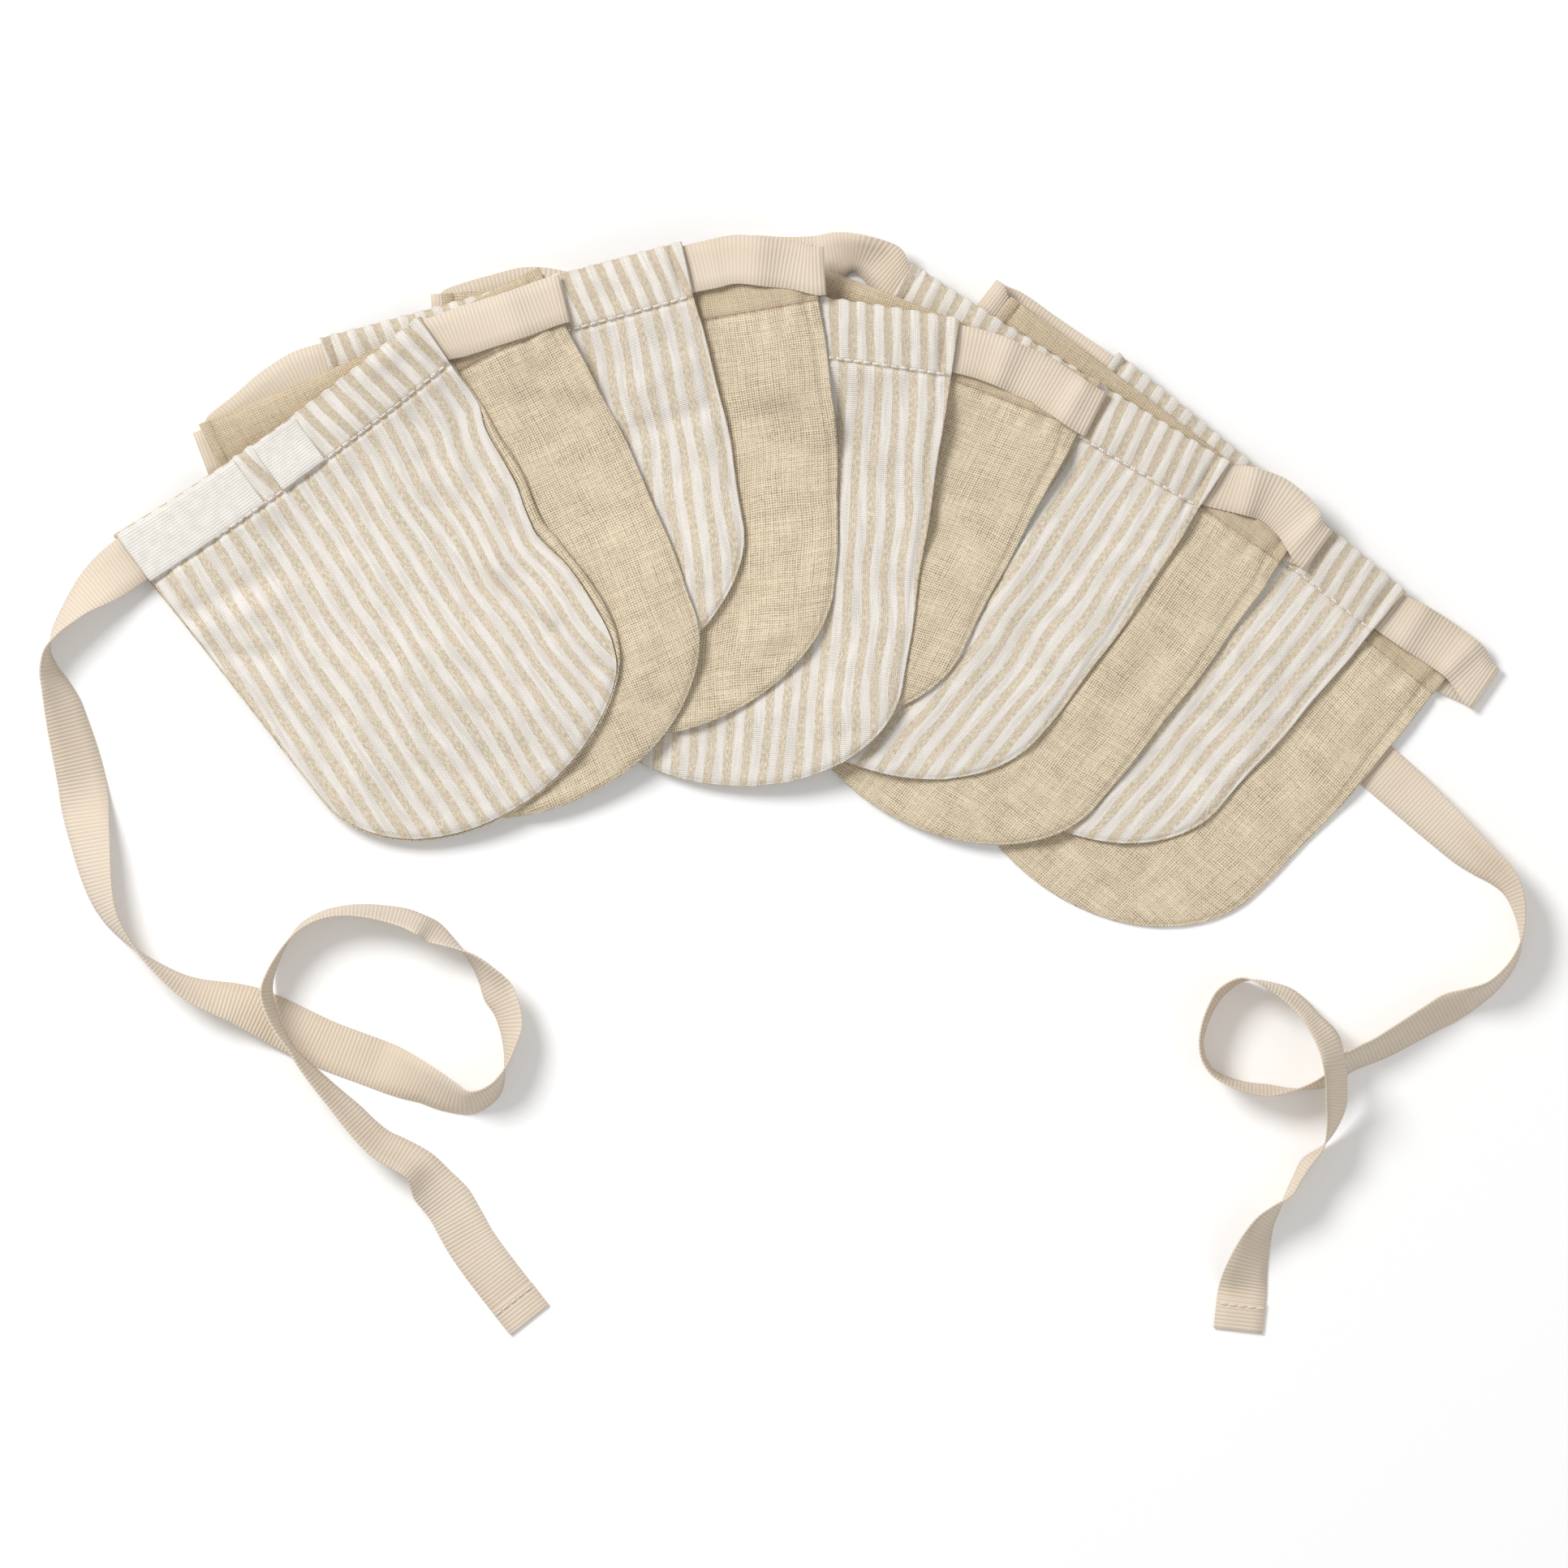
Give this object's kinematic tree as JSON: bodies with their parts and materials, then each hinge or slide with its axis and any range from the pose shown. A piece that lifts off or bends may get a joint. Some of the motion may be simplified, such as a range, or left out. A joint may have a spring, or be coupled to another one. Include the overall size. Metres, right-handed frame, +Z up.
{
  "type": "fabric bunting",
  "caption": "Reversible muslin bunting: rounded pennants, striped on one face and plain on the other, folded zigzag on one ribbon with two free tie ends.",
  "frame": {"origin": "centre of the whole laid-out bunting, on the surface that it lies on", "axes": "+X along the longest extent, from the first pennant to the last; +Y towards the channels; +Z up from the surface"},
  "size_m": [0.4971, 0.3686, 0.0316],
  "materials": {
    "plain_muslin": "open plain weave, matte",
    "striped_muslin": "white and beige woven stripes, matte",
    "grosgrain": "cross-ribbed, soft sheen",
    "label_tape": "fine ribs, matte"
  },
  "bodies": {
    "root": {"flag_01_striped": "striped_muslin", "flag_01_plain": "plain_muslin", "flag_02_striped": "striped_muslin", "flag_02_plain": "plain_muslin", "flag_03_striped": "striped_muslin", "flag_03_plain": "plain_muslin", "flag_04_striped": "striped_muslin", "flag_04_plain": "plain_muslin", "flag_05_striped": "striped_muslin", "flag_05_plain": "plain_muslin", "flag_06_striped": "striped_muslin", "flag_06_plain": "plain_muslin", "flag_07_striped": "striped_muslin", "flag_07_plain": "plain_muslin", "flag_08_striped": "striped_muslin", "flag_08_plain": "plain_muslin", "flag_09_striped": "striped_muslin", "flag_09_plain": "plain_muslin", "flag_10_striped": "striped_muslin", "flag_10_plain": "plain_muslin", "ribbon": "grosgrain", "label_long": "label_tape", "label_short": "label_tape"}
  },
  "joints": []
}
